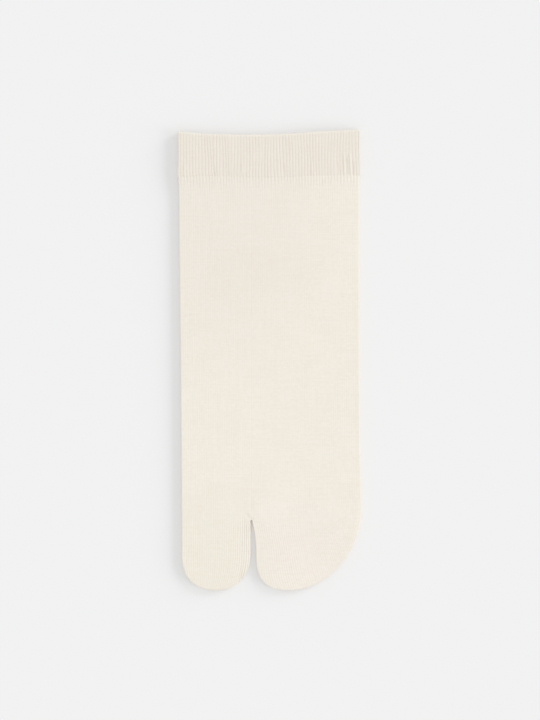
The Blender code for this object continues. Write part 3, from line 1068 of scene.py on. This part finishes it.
def foot_colour(tree, place, pattern):
    """Painted shade near the cuff and on the left, a little yellower in the big toe, with soft
    patches of painted shade, painted light and a warm tint, and the marks of the narrowing."""
    split = add_node(tree, "ShaderNodeSeparateXYZ")
    tree.links.new(place, split.inputs[0])
    x, y = split.outputs[0], split.outputs[1]
    # Painted shade near the cuff, more on the left.
    towards_cuff = ramp(tree, y, *PAINTED_SHADE_Y)
    from_right = ramp(tree, x, *PAINTED_SHADE_X, 1.3, 0.1)
    deeper = maths(tree, "MULTIPLY", towards_cuff, from_right)
    colour = blend_colours(tree, deeper, BODY_YARN, NEAR_CUFF_PAINTED_SHADE)
    left_of_split = ramp(tree, x, *BIG_TOE_X, 1.0, 0.0)
    below_split = ramp(tree, y, *BIG_TOE_Y, 1.0, 0.0)
    in_big_toe = maths(tree, "MULTIPLY", left_of_split, below_split)
    colour = blend_colours(tree, in_big_toe, colour, BIG_TOE_YARN)
    # Patches of painted shade and painted light, and the warm tint.
    for oval in PAINTED_LIGHT_AND_TINT_PATCHES:
        share = maths(tree, "MULTIPLY", soft_oval(tree, x, y, oval), oval.share)
        colour = blend_colours(tree, share, colour, oval.yarn)
    marks = maths(tree, "MULTIPLY", gore_marks(tree, pattern), GORE_SHARE)
    return blend_colours(tree, marks, colour, DARKER_YARN_AND_PAINTED_SHADE)


def cuff_colour(tree, place, pattern):
    """Painted shade down between the ribs; painted light where the welt turns over at the rim and
    in a band at the hem; and a little paler towards the right end."""
    split = add_node(tree, "ShaderNodeSeparateXYZ")
    tree.links.new(pattern, split.inputs[0])
    around, way_up = split.outputs[0], split.outputs[1]
    cell = maths(tree, "FRACT", maths(tree, "DIVIDE", around, RIB))
    aside = maths(tree, "ABSOLUTE", maths(tree, "SUBTRACT", cell, 0.5))
    # Painted light where the welt turns over at the rim, whose rounded top the light misses.
    rim_painted_light = maths(tree, "MULTIPLY", ramp(tree, way_up, *PAINTED_RIM_LIGHT), 0.55)
    # Painted shade down between the ribs, less where the rim is painted light.
    valley = ramp(tree, aside, 0.06, 0.24, 0.3, 0.0)
    between = maths(tree, "MULTIPLY", valley, maths(tree, "SUBTRACT", 1.0, rim_painted_light))
    # Painted light in a band at the hem, against the shade on the hem's slope.
    hem_painted_light = ramp(tree, way_up, *PAINTED_HEM_LIGHT, 0.0, 0.3)
    spot = add_node(tree, "ShaderNodeSeparateXYZ")
    tree.links.new(place, spot.inputs[0])
    on_right = ramp(tree, spot.outputs[0], *PALE_RIGHT, 0.0, 0.14)
    share = maths(tree, "MAXIMUM", rim_painted_light, maths(tree, "ADD", hem_painted_light, on_right))
    paler = blend_colours(tree, share, CUFF_YARN, PALER_CUFF_AND_PAINTED_LIGHT)
    return blend_colours(tree, between, paler, DARKER_YARN_AND_PAINTED_SHADE)


# ---------------------------------------------------------------- the sock

PLAIN_STITCH = 0.05 * MM
PLAIN_FUZZ = 0.022 * MM
RIB_STITCH = 0.085 * MM
RIB_FUZZ = 0.03 * MM

plain_knit = knit_material("plain_knit", WALE, COURSE, PLAIN_STITCH, PLAIN_FUZZ, foot_colour)
foot, foot_area = make_foot(plain_knit)
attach(foot, "root")
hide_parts("foot", "big_toe", "small_toes")

cuff = make_cuff(knit_material("cuff_rib", RIB, COURSE, RIB_STITCH, RIB_FUZZ, cuff_colour))
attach(cuff, "root")
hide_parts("cuff")

# ---------------------------------------------------------------- floor, light and camera

FLOOR_SIZE = 12.0
PALE = (0.9, 0.9, 0.9, 1.0)
SKY_STRENGTH = 0.825
SEEN_SKY = (0.888, 0.888, 0.888, 1)
CAMERA_HEIGHT = 0.853
CAMERA_LENS = 85

bpy.ops.object.select_all(action="DESELECT")
bpy.ops.mesh.primitive_plane_add(size=FLOOR_SIZE, location=(0, 0, 0))
floor = bpy.context.object
floor.name = "floor"
paper = bpy.data.materials.new("pale_paper")
paper.use_nodes = True
matt = paper.node_tree.nodes["Principled BSDF"]
matt.inputs["Base Color"].default_value = PALE
matt.inputs["Roughness"].default_value = 1.0
matt.inputs["Specular IOR Level"].default_value = 0.0
floor.data.materials.append(paper)


def add_sun(name, turn, elevation, strength, spread, lit):
    """A soft sun on the objects in lit. Turn 0 shines from +X and 90 from +Y, in degrees."""
    bpy.ops.object.light_add(type="SUN", location=(0, 0, 1))
    sun = bpy.context.object
    sun.name = name
    sun.rotation_euler = (0, math.radians(90 - elevation), math.radians(turn))
    sun.data.energy = strength
    sun.data.angle = math.radians(spread)
    receivers = bpy.data.collections.new(name + "_lights")
    for obj in lit:
        receivers.objects.link(obj)
    sun.light_linking.receiver_collection = receivers


# Low light gives the floor its long soft shadow, and would rake the knit too hard.
add_sun("cloth_light", turn=24, elevation=40, strength=0.81, spread=30, lit=[foot, cuff])
add_sun("floor_light", turn=30, elevation=16.5, strength=0.97, spread=27, lit=[floor])
add_sun("floor_light_low", turn=-16, elevation=16.5, strength=0.79, spread=27, lit=[floor])

world = bpy.data.worlds.new("studio")
world.use_nodes = True
bpy.context.scene.world = world
tree = world.node_tree
sky = tree.nodes["Background"]
sky.inputs["Color"].default_value = (1, 1, 1, 1)
sky.inputs["Strength"].default_value = SKY_STRENGTH
seen = add_node(tree, "ShaderNodeBackground")
seen.inputs["Color"].default_value = SEEN_SKY
either = add_node(tree, "ShaderNodeMixShader")
camera_ray = add_node(tree, "ShaderNodeLightPath").outputs["Is Camera Ray"]
for socket, source in zip(either.inputs, (camera_ray, sky.outputs[0], seen.outputs[0])):
    tree.links.new(source, socket)
tree.links.new(either.outputs[0], tree.nodes["World Output"].inputs[0])

bpy.ops.object.camera_add(location=(0, 0, CAMERA_HEIGHT), rotation=(0, 0, 0))
camera = bpy.context.object
camera.name = "camera"
camera.data.lens = CAMERA_LENS
camera.data.sensor_width = 36
camera.data.clip_start = 0.01
bpy.context.scene.camera = camera
bpy.context.scene.view_settings.view_transform = "Standard"
